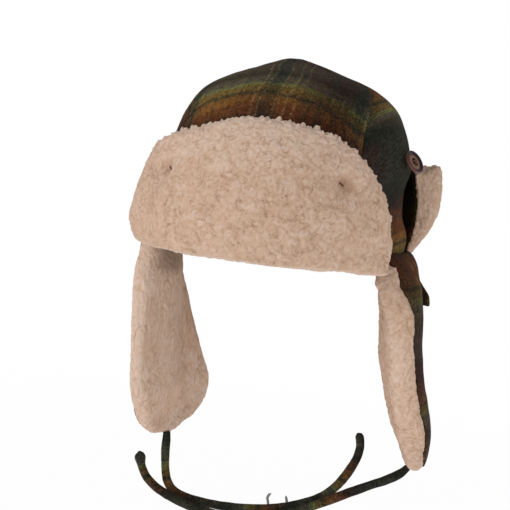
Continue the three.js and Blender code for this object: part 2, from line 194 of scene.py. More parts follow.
def new_group(name, takes, gives):
    """A shader node group with its named sockets; returns its tree, its inputs and its output node."""
    tree = bpy.data.node_groups.new(name, "ShaderNodeTree")
    for label, kind in takes:
        tree.interface.new_socket(label, in_out="INPUT", socket_type=kind)
    for label, kind in gives:
        tree.interface.new_socket(label, in_out="OUTPUT", socket_type=kind)
    return tree, tree.nodes.new("NodeGroupInput").outputs, tree.nodes.new("NodeGroupOutput")


def use_group(tree, group, inputs):
    return put(tree, "ShaderNodeGroup", inputs, node_tree=group).outputs


def new_material(name):
    """An empty material with a principled shader; returns the material, its tree and the shader."""
    material = bpy.data.materials.new(name)
    material.use_nodes = True
    tree = material.node_tree
    return material, tree, tree.nodes["Principled BSDF"]


# Loose fibre that wool, fleece and thread share: a mottle of light and dark, and a low nap
def loose_fibre():
    tree, takes, gives = new_group(
        "loose_fibre",
        (("Place", "NodeSocketVector"), ("Fibre", "NodeSocketFloat"), ("Clump", "NodeSocketFloat")),
        (("Mottle", "NodeSocketFloat"), ("Nap", "NodeSocketFloat")),
    )
    fine = noise(tree, takes["Place"], takes["Fibre"], roughness=0.55)
    broad = noise(tree, takes["Place"], takes["Clump"], roughness=0.55)
    mixed = sums(tree, "MULTIPLY_ADD", fine, 0.6, sums(tree, "MULTIPLY", broad, 0.4))
    feed(tree, gives, {"Mottle": spread(tree, mixed, 0.3, 0.7), "Nap": fine})
    return tree


LOOSE_FIBRE = loose_fibre()

# Tartan, in millimetres of cloth. The weft's bands run along v and the warp's along u
WEFT_REPEAT = 83.5
WEFT = (
    (0.0, (86, 85, 69)),
    (9.0, (74, 71, 58)),
    (13.0, (42, 45, 37)),
    (19.0, (42, 44, 36)),
    (23.0, (64, 60, 52)),
    (34.0, (62, 60, 50)),
    (40.0, (46, 44, 36)),
    (44.0, (46, 25, 22)),
    (50.5, (46, 24, 21)),
    (53.0, (84, 44, 24)),
    (60.0, (100, 54, 26)),
    (63.0, (120, 76, 34)),
    (67.5, (118, 80, 36)),
    (69.0, (62, 54, 32)),
    (71.0, (62, 54, 32)),
    (72.5, (116, 90, 42)),
    (78.0, (112, 92, 44)),
    (79.8, (114, 115, 65)),
    (82.4, (110, 111, 63)),
    (83.5, (86, 85, 69)),
)
# The last number of each row is the warp's share over the weft
WARP_REPEAT = 132.0
WARP_MIDDLE = 56.0
WARP = (
    (0.0, (76, 50, 31), 0.3),
    (9.0, (98, 78, 44), 0.26),
    (26.0, (94, 74, 42), 0.28),
    (36.0, (76, 52, 34), 0.36),
    (46.0, (70, 42, 30), 0.42),
    (50.0, (33, 36, 30), 0.66),
    (60.0, (33, 36, 30), 0.66),
    (64.0, (76, 54, 35), 0.38),
    (73.0, (70, 42, 29), 0.46),
    (82.0, (63, 30, 22), 0.56),
    (92.0, (51, 24, 18), 0.69),
    (100.0, (43, 20, 16), 0.8),
    (116.0, (43, 20, 16), 0.8),
    (119.0, (27, 29, 24), 0.76),
    (126.0, (27, 29, 24), 0.76),
    (132.0, (76, 50, 31), 0.3),
)
PALE_LINES = (44.6, 49.7, 61.2, 69.5, 75.9)
PALE_WIDTH = 1.1
TWILL = 1.9
BLACK, WHITE = (0, 0, 0, 1), (1, 1, 1, 1)


def woven_colour(tree, cloth):
    """The tartan's colour over the cloth, and the height of its twill."""
    axes = put(tree, "ShaderNodeSeparateXYZ", {"Vector": cloth}).outputs
    # Bands with feathered edges
    waver = centred(tree, noise(tree, cloth, 0.08))
    feather = centred(tree, noise(tree, cloth, 0.55, roughness=0.6))
    shift = sums(tree, "MULTIPLY_ADD", waver, 7.0, sums(tree, "MULTIPLY", feather, 8.0))
    weft_place = repeated(tree, sums(tree, "ADD", axes["Y"], shift), WEFT_REPEAT)
    weft = stripes(tree, weft_place, [(at / WEFT_REPEAT, dyed(*colour)) for at, colour in WEFT])
    across = sums(tree, "ADD", axes["X"], sums(tree, "MULTIPLY", shift, 0.6))
    warp_place = repeated(tree, sums(tree, "ADD", across, WARP_MIDDLE), WARP_REPEAT)
    warp = stripes(tree, warp_place, [(at / WARP_REPEAT, dyed(*colour)[:3] + [part]) for at, colour, part in WARP])
    warp_share = warp.node.outputs["Alpha"]
    # Dark streaks along the warp
    drawn_out = sums(tree, "MULTIPLY", axes["Y"], 0.07)
    drawn = put(tree, "ShaderNodeCombineXYZ", {"X": axes["X"], "Y": drawn_out}).outputs["Vector"]
    streak = noise(tree, drawn, 0.34, detail=3.0, roughness=0.6)
    warp = blend_colours(tree, spread(tree, streak, 0.48, 0.6, 0.0, 0.7), warp, dyed(30, 34, 27))
    # Weft and warp woven together
    diagonal = sums(tree, "ADD", axes["X"], axes["Y"])
    twill = sums(tree, "SINE", sums(tree, "MULTIPLY", diagonal, 2 * math.pi / TWILL))
    grain = centred(tree, noise(tree, cloth, 0.85, detail=1.0))
    share = sums(tree, "MULTIPLY_ADD", centred(tree, streak), 0.8, warp_share)
    share = sums(tree, "MULTIPLY_ADD", twill, 0.08, sums(tree, "MULTIPLY_ADD", grain, 0.9, share))
    share = sums(tree, "MAXIMUM", sums(tree, "MINIMUM", share, 1.0), 0.0)
    colour = blend_colours(tree, share, weft, warp)
    # Pale single threads of the warp, worn through in places
    lines = [(0.0, BLACK)]
    for at in PALE_LINES:
        beside = ((at - PALE_WIDTH, BLACK), (at, WHITE), (at + PALE_WIDTH, BLACK))
        lines += [(place / WARP_REPEAT, tone) for place, tone in beside]
    worn = spread(tree, noise(tree, cloth, 0.3), 0.4, 0.66, 0.12, 0.55)
    pale = sums(tree, "MULTIPLY", stripes(tree, warp_place, lines), worn)
    return blend_colours(tree, pale, colour, dyed(150, 126, 90)), twill


def tartan_wool():
    material, tree, shader = new_material("tartan_wool")
    cloth = put(tree, "ShaderNodeUVMap", uv_map="cloth").outputs["UV"]
    place = on_object(tree)
    fibre = use_group(tree, LOOSE_FIBRE, {"Place": place, "Fibre": 620.0, "Clump": 260.0})
    colour, twill = woven_colour(tree, cloth)
    # Heathered fibre over the whole cloth
    value = sums(tree, "ADD", fibre["Mottle"], 0.48)
    shade = put(tree, "ShaderNodeHueSaturation", {"Value": value, "Color": colour}).outputs["Color"]
    hairs = spread(tree, noise(tree, place, 900.0, detail=1.0), 0.6, 0.76, 0.0, 0.16)
    height = sums(tree, "MULTIPLY_ADD", twill, 0.1, fibre["Mottle"])
    feed(tree, shader, {
        "Base Color": blend_colours(tree, hairs, shade, dyed(110, 100, 78)),
        "Normal": relief(tree, height, 0.6, 0.0006),
        "Roughness": sums(tree, "MULTIPLY_ADD", fibre["Mottle"], -0.1, 0.97),
        "Specular IOR Level": 0.08,
        "Sheen Weight": 0.04,
        "Sheen Roughness": 0.4,
        "Sheen Tint": dyed(190, 180, 150),
    })
    return material


def curly_fleece():
    material, tree, shader = new_material("curly_fleece")
    place = on_object(tree)
    fibre = use_group(tree, LOOSE_FIBRE, {"Place": place, "Fibre": 1500.0, "Clump": 420.0})
    # Thin partings between curls, deep in patches: sunk in the bump relief and darkened with painted shade
    wander = sums(tree, "ABSOLUTE", centred(tree, noise(tree, place, 290.0, roughness=0.55)))
    parting = spread(tree, wander, 0.0, 0.035, 1.0, 0.0)
    patchy = spread(tree, noise(tree, place, 160.0, detail=1.0), 0.45, 0.65)
    parting = sums(tree, "MULTIPLY", sums(tree, "MULTIPLY", parting, patchy), painted(tree, "curl"))
    # Pile coloured from painted shade deep in the creases to painted light at the tops of the tufts and along the
    # edges
    lit = sums(tree, "MULTIPLY_ADD", centred(tree, fibre["Mottle"]), 0.12, painted(tree, "painted_pile_shade"))
    lit = sums(tree, "MULTIPLY_ADD", centred(tree, noise(tree, place, 60.0)), 0.25, lit)
    colour = stripes(tree, lit, (
        (0.0, dyed(144, 111, 88)),
        (0.3, dyed(182, 149, 125)),
        (0.65, dyed(198, 167, 144)),
        (1.0, dyed(210, 185, 167)),
    ))
    height = sums(tree, "MULTIPLY_ADD", parting, -0.5, sums(tree, "MULTIPLY", fibre["Mottle"], 0.5))
    feed(tree, shader, {
        # Painted shade in the partings between curls
        "Base Color": blend_colours(tree, sums(tree, "MULTIPLY", parting, 0.6), colour, dyed(152, 114, 84)),
        "Normal": relief(tree, height, 0.5, 0.0008),
        "Roughness": sums(tree, "MULTIPLY_ADD", fibre["Mottle"], -0.08, 1.0),
        "Specular IOR Level": 0.1,
        "Sheen Weight": 0.25,
        "Sheen Roughness": 0.5,
        "Sheen Tint": dyed(238, 216, 205),
    })
    return material


def polished_horn():
    material, tree, shader = new_material("polished_horn")
    cloud = noise(tree, on_object(tree), 300.0, detail=3.0, roughness=0.6)
    # Rings of colour from the middle of the button to its rim; the palest ring at the rim's outer edge is a
    # painted highlight
    place = sums(tree, "MULTIPLY_ADD", centred(tree, cloud), 0.05, painted(tree, "ring"))
    colour = stripes(tree, place, (
        (0.0, dyed(20, 10, 10)),
        (0.34, dyed(24, 12, 12)),
        (0.44, dyed(140, 104, 82)),
        (0.6, dyed(126, 90, 70)),
        (0.7, dyed(34, 15, 17)),
        (0.84, dyed(40, 17, 20)),
        (0.95, dyed(60, 30, 30)),
        # Painted highlight round the rim's outer edge
        (1.0, dyed(120, 82, 76)),
    ))
    feed(tree, shader, {
        "Base Color": colour,
        "Roughness": spread(tree, cloud, 0.3, 0.7, 0.22, 0.36),
        "Specular IOR Level": 0.25,
    })
    return material


def dull_thread(name, colour, light):
    material, tree, shader = new_material(name)
    fibre = use_group(tree, LOOSE_FIBRE, {"Place": on_object(tree), "Fibre": 3200.0, "Clump": 900.0})
    feed(tree, shader, {
        "Base Color": blend_colours(tree, fibre["Mottle"], dyed(*colour), dyed(*light)),
        "Normal": relief(tree, fibre["Nap"], 0.4, 0.0002),
        "Roughness": sums(tree, "MULTIPLY_ADD", fibre["Nap"], -0.2, 0.95),
    })
    return material


WOOL = tartan_wool()
FLEECE = curly_fleece()
HORN = polished_horn()
BROWN_THREAD = dull_thread("brown_thread", (78, 50, 34), (112, 78, 56))
PALE_THREAD = dull_thread("pale_thread", (92, 93, 89), (150, 152, 148))

# Seeded noise for modelling, in steps of the pattern's own width
NOISE_CELLS = 512
seeded = np.random.default_rng(11)
SHUFFLE = seeded.permutation(NOISE_CELLS)
SPOTS = seeded.random((NOISE_CELLS, 3))


def spot_of(cell):
    key = SHUFFLE[cell[:, 0] % NOISE_CELLS] + cell[:, 1]
    key = SHUFFLE[key % NOISE_CELLS] + cell[:, 2]
    return SPOTS[SHUFFLE[key % NOISE_CELLS]]


def corners_of(place, fade):
    """For each corner of the cell round a place: its share, the way from it, and its random value from -1 to 1."""
    base = np.floor(place).astype(int)
    part = place - base
    share = fade(part)
    for step in np.ndindex(2, 2, 2):
        corner = np.array(step)
        weight = np.prod(np.where(step, share, 1 - share), axis=1)
        yield weight, part - corner, 2 * spot_of(base + corner) - 1


def soft_fade(part):
    return part * part * (3 - 2 * part)


def softer_fade(part):
    return part ** 3 * (part * (6 * part - 15) + 10)


def swirl(place):
    """Smooth noise from about -1 to 1 that passes through 0 along wandering lines."""
    return 1.6 * sum(weight * (slope * way).sum(1) for weight, way, slope in corners_of(place, softer_fade))


def drift(place, channel=0):
    """Smooth noise from -1 to 1."""
    return sum(weight * value[:, channel] for weight, _, value in corners_of(place, soft_fade))


# Shares from 0 to 1 along a measure
def ease(low, high, value):
    return soft_fade(np.clip((value - low) / (high - low), 0, 1))


def between(start, full, fading, end, value):
    """Rises from start to full, and falls from fading to end."""
    return ease(start, full, value) * (1 - ease(fading, end, value))


def hill(middle, width, value):
    return np.exp(-((value - middle) / width) ** 2)


# Mesh helpers
def points_of(mesh):
    place = np.empty(3 * len(mesh.vertices))
    mesh.vertices.foreach_get("co", place)
    return place.reshape(-1, 3)


def normals_of(mesh):
    out = np.empty(3 * len(mesh.vertices))
    mesh.vertex_normals.foreach_get("vector", out)
    return out.reshape(-1, 3)


def place_points(mesh, place):
    mesh.vertices.foreach_set("co", place.ravel())
    mesh.update()


def shade_smooth(mesh):
    mesh.polygons.foreach_set("use_smooth", np.ones(len(mesh.polygons), bool))


def paint(mesh, name, values):
    """Writes a value at each point, for the materials."""
    mesh.attributes.new(name, "FLOAT", "POINT").data.foreach_set("value", values)


def mesh_of(name, bm):
    mesh = bpy.data.meshes.new(name)
    bm.to_mesh(mesh)
    bm.free()
    return mesh


def new_piece(name, bm, material, node=None):
    """An object made of a bmesh, riding on the hat."""
    mesh = mesh_of(name, bm)
    mesh.materials.append(material)
    shade_smooth(mesh)
    piece = link_object(name, mesh)
    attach(piece, "root")
    if node:
        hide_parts(node)
    return piece


def settle(piece):
    """The piece's modifiers become part of its mesh."""
    depsgraph = bpy.context.evaluated_depsgraph_get()
    made = bpy.data.meshes.new_from_object(piece.evaluated_get(depsgraph))
    old = piece.data
    piece.modifiers.clear()
    piece.data = made
    bpy.data.meshes.remove(old)
    shade_smooth(made)
    return made


def solid_copy(node):
    """A merged copy of a solid as a bmesh."""
    bm = bmesh.new()
    bm.from_mesh(nodes[node].data)
    bmesh.ops.remove_doubles(bm, verts=bm.verts, dist=0.000005)
    return bm


def lay_cloth(mesh, u, v):
    """Writes where each point lies on the cloth, in millimetres, as its UV map."""
    layer = mesh.uv_layers.get("cloth") or mesh.uv_layers.new(name="cloth")
    corner = np.empty(len(mesh.loops), int)
    mesh.loops.foreach_get("vertex_index", corner)
    layer.data.foreach_set("uv", np.stack([u, v], 1)[corner].ravel())


def wool_piece(name, node, levels):
    """A cut and sewn piece of wool: the solid's walls as four-sided faces, rounded, with firm edges."""
    firm_angle, firmness = 1.0, 0.45
    bm = solid_copy(node)
    bmesh.ops.join_triangles(
        bm, faces=bm.faces, angle_face_threshold=math.pi, angle_shape_threshold=math.pi,
        topology_influence=0.5)
    firm = bm.edges.layers.float.new("crease_edge")
    for edge in bm.edges:
        if edge.calc_face_angle(0.0) > firm_angle:
            edge[firm] = firmness
    piece = new_piece(name, bm, WOOL, node)
    rounding = piece.modifiers.new("rounding", "SUBSURF")
    rounding.levels = rounding.render_levels = levels
    settle(piece)
    return piece


def neighbours_of(names):
    """A search tree over some solids."""
    bm = bmesh.new()
    for node in names:
        bm.from_mesh(nodes[node].data)
    tree = BVHTree.FromBMesh(bm)
    bm.free()
    return tree


def nearest_of(names, place, reach):
    """Gap to the nearest of some solids at each point, and the way to it. Out of reach, the gap is a metre."""
    tree = neighbours_of(names)
    gap = np.full(len(place), 1.0)
    toward = np.zeros_like(place)
    for k, at in enumerate(place):
        near, _, _, far = tree.find_nearest(Vector(at), reach)
        if near is not None:
            gap[k] = far
            toward[k] = (np.array(near) - at) / max(far, 1e-6)
    return gap, toward


# Ties: sewn tubes of wool, from the tip of the flap to the free end, in metres
TIE_WIDTH = 0.0064
TIE_SIDES = 20
TIE_PACE = 0.0014
TIE_FLATNESS = 0.94
TIE_RIGHT = (
    (-0.0652, -0.002, -0.148), (-0.0646, -0.003, -0.1535), (-0.0642, -0.004, -0.161),
    (-0.0631, -0.005, -0.1685), (-0.0615, -0.0065, -0.176), (-0.0586, -0.008, -0.1829),
    (-0.0533, -0.0095, -0.1878), (-0.0439, -0.01, -0.1908), (-0.0282, -0.01, -0.192),
    (-0.0087, -0.01, -0.1914), (0.0088, -0.01, -0.1891), (0.0266, -0.01, -0.1847),
    (0.0418, -0.01, -0.1788), (0.0538, -0.01, -0.1718), (0.0634, -0.01, -0.163),
    (0.0696, -0.0095, -0.1536), (0.0737, -0.009, -0.1455), (0.0762, -0.008, -0.1385),
    (0.0768, -0.007, -0.1323), (0.0756, -0.006, -0.1263), (0.0736, -0.0054, -0.1239),
)
TIE_LEFT = (
    (0.1098, -0.001, -0.1427), (0.107, -0.004, -0.1456), (0.103, -0.008, -0.1482),
    (0.097, -0.012, -0.1511), (0.0878, -0.016, -0.1552), (0.0752, -0.0185, -0.1618),
    (0.0617, -0.019, -0.1699), (0.0466, -0.019, -0.1786), (0.0311, -0.019, -0.1858),
    (0.0123, -0.019, -0.1919), (-0.0078, -0.019, -0.195), (-0.0257, -0.019, -0.1951),
    (-0.0402, -0.019, -0.1929), (-0.0529, -0.0185, -0.1894), (-0.064, -0.0175, -0.185),
    (-0.0726, -0.016, -0.1793), (-0.0775, -0.0145, -0.1726), (-0.0803, -0.013, -0.1657),
    (-0.0811, -0.0126, -0.1632),
)
# Where the cloth lies along each tie: metres from its start, millimetres of the weft
LAID_RIGHT = ((0, 0.06, 0.211), (19, -37, -222.5))
LAID_LEFT = ((0, 0.055, 0.222), (8, 60, 261.5))


def smooth_line(route, pace):
    """Points at an even pace along a smooth curve through the route, and how far along each lies."""
    p = np.array(route)
    p = np.vstack([2 * p[0] - p[1], p, 2 * p[-1] - p[-2]])
    line = []
    for a, b, c, d in zip(p, p[1:], p[2:], p[3:]):
        gaps = [np.linalg.norm(k) ** 0.5 for k in (b - a, c - b, d - c)]
        t0, t1, t2, t3 = np.cumsum([0] + gaps)
        for t in np.linspace(t1, t2, 24, endpoint=False):
            ab = ((t1 - t) * a + (t - t0) * b) / (t1 - t0)
            bc = ((t2 - t) * b + (t - t1) * c) / (t2 - t1)
            cd = ((t3 - t) * c + (t - t2) * d) / (t3 - t2)
            abc = ((t2 - t) * ab + (t - t0) * bc) / (t2 - t0)
            bcd = ((t3 - t) * bc + (t - t1) * cd) / (t3 - t1)
            line.append(((t2 - t) * abc + (t - t1) * bcd) / (t2 - t1))
    line = np.array(line + [p[-2]])
    far = np.concatenate([[0], np.cumsum(np.linalg.norm(np.diff(line, axis=0), axis=1))])
    even = np.linspace(0, far[-1], max(2, round(far[-1] / pace)) + 1)
    return np.stack([np.interp(even, far, line[:, k]) for k in range(3)], 1), even


def tube(line, widths, sides, flat=1.0):
    """A bmesh tube along a line: one ring extruded from place to place, closed at both ends."""
    bm = bmesh.new()
    ring = bmesh.ops.create_circle(bm, cap_ends=False, radius=1, segments=sides)["verts"]
    after = np.vstack([line[1:], line[-1:]])
    before = np.vstack([line[:1], line[:-1]])
    ahead = [Vector(way).normalized() for way in after - before]
    turn = UP.rotation_difference(ahead[0])
    was = Matrix.Identity(4)
    edges = list(bm.edges)
    first = list(edges)
    for k, at in enumerate(line):
        if k:
            turn = ahead[k - 1].rotation_difference(ahead[k]) @ turn
            grown = bmesh.ops.extrude_edge_only(bm, edges=edges)["geom"]
            ring = [g for g in grown if isinstance(g, bmesh.types.BMVert)]
            edges = [g for g in grown if isinstance(g, bmesh.types.BMEdge)]
        wide = widths[k] / 2
        size = Matrix.Diagonal((wide, wide * flat, 1, 1))
        now = Matrix.Translation(Vector(at)) @ turn.to_matrix().to_4x4() @ size
        bmesh.ops.transform(bm, matrix=now @ was.inverted(), verts=ring)
        was = now
    bmesh.ops.contextual_create(bm, geom=first)
    bmesh.ops.contextual_create(bm, geom=edges)
    bmesh.ops.recalc_face_normals(bm, faces=bm.faces)
    return bm


def sewn_tie(name, node, route, laid, phase, frayed):
    line, along = smooth_line(route, TIE_PACE)
    # Narrower where it is sewn in, closed at the free end, which may be frayed to a knob
    left = along[-1] - along
    tuck = np.sqrt(np.clip(1 - np.clip(1 - left / 0.003, 0, 1) ** 2, 0.05, 1))
    start = 0.82 + 0.18 * ease(0, 0.008, along)
    knob = 1 + 0.36 * frayed * hill(0.0048, 0.0034, left)
    ripple = 1 + 0.035 * np.sin(along / 0.0071 + phase)
    bm = tube(line, TIE_WIDTH * tuck * start * knob * ripple, TIE_SIDES, TIE_FLATNESS)
    piece = new_piece(name, bm, WOOL, node)
    mesh = piece.data
    place = points_of(mesh)
    step, round_it = np.divmod(np.arange(len(place)), TIE_SIDES)
    lay_cloth(mesh, -5 + round_it * 0.12, np.interp(along[step], *laid))
    puckers = 0.00016 * drift(place / 0.0035) + 0.00012 * drift(place / 0.009, 1)
    puckers += 0.0009 * frayed * drift(place / 0.0017, 2) * np.exp(-left[step] / 0.003)
    seam = -0.00035 * hill(TIE_SIDES / 2, 0.9, (round_it + 7) % TIE_SIDES)
    place_points(mesh, place + normals_of(mesh) * (puckers + seam)[:, None])


sewn_tie("tie_left_tube", "tie_left", TIE_LEFT, LAID_LEFT, phase=0.4, frayed=1.0)
sewn_tie("tie_right_tube", "tie_right", TIE_RIGHT, LAID_RIGHT, phase=1.3, frayed=0.0)


# Crown: four panels. The tables give how far the cloth runs up from the rim at each height, and the lean
RUN_HEIGHT = np.array((-5, 0, 67, 80, 94, 103, 110, 116, 121, 125.5, 128.8)) * MM
RUN_LENGTH = np.array((-5, 0, 68, 81.5, 97.5, 112, 127, 146, 163, 178.5, 191))
LEAN_HEIGHT = np.array((0, 38, 67, 94, 103, 110, 116, 121, 125.5)) * MM
LEAN = np.array((0.5, 4, 4.5, 5, 7, 7, 4, 1, 0)) * MM
CROWN_MIDDLE = np.array((4, 0, 30)) * MM
CROWN_OVAL = 1.2
PEAK_HEIGHT = 0.12
SEAM_SWELL = 0.0003


def crown_panel(name, node, facing, run_of, widen=1.0, shift=0, skew=0, dent=0):
    """One panel: the way it faces in degrees, its flat width and area, and how the cloth lies on it."""
    piece = wool_piece(name, node, 2)
    mesh = piece.data
    place = points_of(mesh)
    aside = place[:, 0] - np.interp(place[:, 2], LEAN_HEIGHT, LEAN)
    turn = np.degrees(np.arctan2(aside * CROWN_OVAL, -place[:, 1]))
    turn = (turn - facing + 180) % 360 - 180
    out = np.hypot(place[:, 0], place[:, 1])
    run = np.interp(place[:, 2], RUN_HEIGHT, RUN_LENGTH) + 24 * (turn / 48) ** 2
    skewed = skew * (1 - ease(32, 50, run) + ease(84, 100, run))
    lay_cloth(mesh, np.radians(turn) * out * TO_MM * widen + shift + skewed, run_of(run))
    # Soft waves in the cloth, the same on both sides of a seam, and side walls swollen to close the seam
    away = place - CROWN_MIDDLE
    away /= np.linalg.norm(away, axis=1)[:, None]
    normals = normals_of(mesh)
    walls = 1 - ease(0.25, 0.75, np.abs((normals * away).sum(1)))
    waves = 0.0008 * drift(place / 0.023) + 0.0003 * drift(place / 0.009, 1)
    place = place + away * waves[:, None] + normals * (SEAM_SWELL * walls)[:, None]
    # A hollow under the button
    under_button = between(0.012, 0.03, 0.042, 0.064, place[:, 2])
    place[:, 0] -= dent * under_button * np.clip(1 - (turn / 40) ** 2, 0, 1)
    # The peak drawn shut
    peak = place[:, 2] > PEAK_HEIGHT
    close = 0.25 + 0.75 * ease(0.0, 0.009, out)
    place[:, :2] *= np.where(peak, close, 1)[:, None]
    place[:, 2] -= 0.0016 * (1 - ease(0.0, 0.008, out)) * peak
    place_points(mesh, place)


def front_run(run):
    return np.interp(run, (0, 141.5, 200), (-30.5, 111, 131.5))


def side_run(run):
    return np.interp(run, (5, 13, 19, 34, 45, 99, 102, 106, 115, 240),
                     (163, 152.5, 145.5, 135.5, 126.5, 96.5, 83.5, 79.5, 70, -55))


crown_panel("crown_front_wool", "crown_front_panel", 0, front_run)
crown_panel("crown_back_wool", "crown_back_panel", 180, front_run)
crown_panel("crown_left_wool", "crown_left_panel", 90, side_run,
            widen=0.14, shift=69, skew=10, dent=0.0058)
crown_panel("crown_right_wool", "crown_right_panel", -90, front_run, shift=-144)


# Moves of a flap's points from where the solid has them
def as_it_is(place, out):
    return place


def neck_corner(place, out):
    """The neck flap's left end stands up squarer and fuller."""
    side, back, height = place.T
    moved = place.copy()
    tip = 0.006 * ease(0.091, 0.104, side) - 0.002 * ease(0.06, 0.08, side)
    moved[:, 2] += ease(0.03, 0.06, height) * (1 - ease(0.06, 0.1, back)) * tip
    moved[:, 0] += 0.0024 * ease(0.055, 0.1, side) * between(-0.004, 0.012, 0.035, 0.06, height)
    moved[:, 2] += 0.0025 * ease(0.06, 0.08, side) * (1 - ease(0.0, 0.018, height))
    return moved


def front_corner(place, out):
    """The front flap's lower left corner reaches down to the ear flap."""
    moved = place.copy()
    corner = ease(0.058, 0.078, place[:, 0]) * (1 - ease(-0.008, 0.006, place[:, 2]))
    moved[:, 0] += 0.0045 * corner
    moved[:, 2] -= 0.001 * corner
    return moved


def hung_in(place):
    """The left ear flap hangs a little further in, most along the wool's front edge."""
    drop, back = -place[:, 2], place[:, 1]
    whole = between(0.035, 0.055, 0.12, 0.138, drop)
    front = between(0.03, 0.05, 0.09, 0.115, drop) * (1 - ease(-0.052, -0.02, back))
    moved = place.copy()
    moved[:, 0] -= 0.0017 * whole + 0.003 * front
    return moved


# Wool shells of the flaps: their flat height in metres, and millimetres of cloth to a radian round the hat
FLAP_RADIUS = 105


def flap_shell(name, node, facing, shape):
    piece = wool_piece(name, node, 2)
    mesh = piece.data
    place = shape(points_of(mesh), normals_of(mesh))
    place_points(mesh, place)
    turn = np.arctan2(place[:, 0], -place[:, 1]) - math.radians(facing)
    turn = (turn + math.pi) % (2 * math.pi) - math.pi
    lay_cloth(mesh, turn * FLAP_RADIUS, place[:, 2] * TO_MM + 48)


flap_shell("front_flap_wool", "front_flap_shell", 0, as_it_is)
flap_shell("back_flap_wool", "back_flap_shell", 180, neck_corner)

# Where the cloth lies down each ear flap: millimetres below the crown's lower edge, millimetres of the weft
EAR_DROP = (-12.3, -6.9, 2.1, 11.7, 15.7, 16.6, 22.9, 26.8, 65.2, 75.2, 85.5, 89.6, 90.5, 94.1, 96.8, 141)
EAR_RUN = (37, 43, 52, 62, 69, 70.5, 79.5, 83.5, 126.5, 135.5, 145.5, 152.5, 154, 163, 167, 216)
LEFT, RIGHT = 1, -1


def ear_shell(name, node, hand, fullness):
    piece = wool_piece(name, node, 3)
    mesh = piece.data
    place = points_of(mesh)
    lay_cloth(mesh, place[:, 1] * -700 + 6, np.interp(-place[:, 2] * TO_MM, EAR_DROP, EAR_RUN))
    waves = 0.0005 * drift(place / 0.018) + 0.0003 * drift(place / 0.008, 1)
    place = place + normals_of(mesh) * waves[:, None]
    # Fuller below the rim and lower down
    back, height = place[:, 1].copy(), place[:, 2].copy()
    bulge = fullness * hill(-0.005, 0.0095, height)
    lower = 0.5 * fullness * ease(-0.03, -0.06, height) * ease(-0.14, -0.11, height)
    place[:, 0] += hand * (bulge + lower) * (1 - ease(0.012, 0.026, back))
    if hand == LEFT:
        # The top rolls out over the rim
        rolled = ease(-0.014, -0.001, height) * between(-0.05, -0.035, 0.022, 0.034, back)
        place = hung_in(place) + rolled[:, None] * np.array((0.0022, 0, 0.0046))
    place_points(mesh, place)


ear_shell("ear_flap_left_wool", "ear_flap_left_shell", LEFT, fullness=0.0026)
ear_shell("ear_flap_right_wool", "ear_flap_right_shell", RIGHT, fullness=0.002)


def flap_tab(name, node, shell, hand):
    """A tab sewn down at its top, with its free end standing off a little."""
    piece = wool_piece(name, node, 3)
    mesh = piece.data
    place = points_of(mesh)
    lay_cloth(mesh, hand * place[:, 1] * TO_MM + 40, -place[:, 2] * TO_MM + 48)
    gap, toward = nearest_of((shell,), place, 0.02)
    top = ease(0.35, 1.0, (place[:, 2] - place[:, 2].min()) / np.ptp(place[:, 2]))
    place = place + toward * (top * 0.62 * np.clip(gap - 0.0003, 0, 1))[:, None]
    place[:, 0] += hand * 0.0016 * (1 - top) ** 2
    place_points(mesh, place)


flap_tab("ear_tab_left_wool", "ear_flap_left_tab", "ear_flap_left_shell", LEFT)
flap_tab("ear_tab_right_wool", "ear_flap_right_tab", "ear_flap_right_shell", RIGHT)

# The wool's front edge on each ear flap, in millimetres: how far down, out to the side and back
EAR_EDGE = {
    LEFT: ((0.4, 8, 16, 29, 48, 72), (80.4, 86.5, 97, 105, 111, 115.5), (-41, -44, -50, -52, -51, -49)),
    RIGHT: ((0.4, 8, 16, 32, 55, 85), (79.4, 82.5, 83.5, 82.5, 81.5, 80), (-41, -42.5, -46.5, -50, -49, -47)),
}


def middle_bow(behind):
    return np.sin(math.pi * np.clip(behind / 0.062, 0, 1))


def front_bow(behind):
    return hill(0.012, 0.017, behind)


def full_top(hand, tie, inward, outward, forward, belly, rounded, bow):
    """A move that fills an ear flap's fleece out: at its top, over the wool's front edge and at its belly."""
    drops, outs, backs = (np.array(row) * MM for row in EAR_EDGE[hand])
    tie_start = np.array(tie[0][:2])

    def shape(place, out):
        side, back, drop = hand * place[:, 0], place[:, 1], -place[:, 2]
        edge_out, edge_back = np.interp(drop, drops, outs), np.interp(drop, drops, backs)
        within = np.clip((edge_out - 0.003 - side) / 0.01, 0, 1)
        rear = ease(-0.03, 0.01, back)
        high = between(0.006, 0.018, 0.022, 0.058, drop) * (1 - 0.7 * rear)
        over = np.clip((side - edge_out + 0.008) / 0.006, 0, 1) * ease(-0.0015, 0.001, edge_back - back)
        over *= 1 - ease(0.003, 0.02, drop)
        low = (hill(0.076, 0.018, drop) + 0.7 * hill(0.124, 0.013, drop)) * within * (1 - rear)
        lip = (1 - ease(0.006, 0.03, back - edge_back)) * between(0.002, 0.02, 0.1, 0.135, drop)
        inner = ease(-0.1, 0.6, -hand * out[:, 0]) * between(0.01, 0.03, 0.11, 0.138, drop)
        convex = inner * bow(back - edge_back)
        outer = outward * over + forward * lip
        inside = inward * within * high + belly * low + rounded * convex
        sewn = np.exp(-(((place[:, :2] - tie_start) / 0.008) ** 2).sum(1)) * ease(0.12, 0.135, drop)
        moved = place.copy()
        moved[:, 0] += hand * (outer - inside)
        moved[:, 1] -= 0.003 * over
        moved[:, 2] += 0.007 * over - 0.002 * sewn
        return moved

    return shape


# How far the fringe stands out along a pad's edge
def above_rim(place, out):
    return ease(0.0, 0.012, place[:, 2])


def top_rim(place, out):
    return above_rim(place, out) * (0.15 + 0.3 * ease(0.2, 0.7, out[:, 2]))


def faint_rim(place, out):
    return np.full(len(place), 0.2)


# Painted light and shade over areas of a pad
def plain_tone(place, out):
    return np.zeros(len(place))


def painted_top_light(place, out):
    """Painted light: paler pile toward the front flap's upper edge."""
    return 0.2 * ease(0.04, 0.066, place[:, 2])


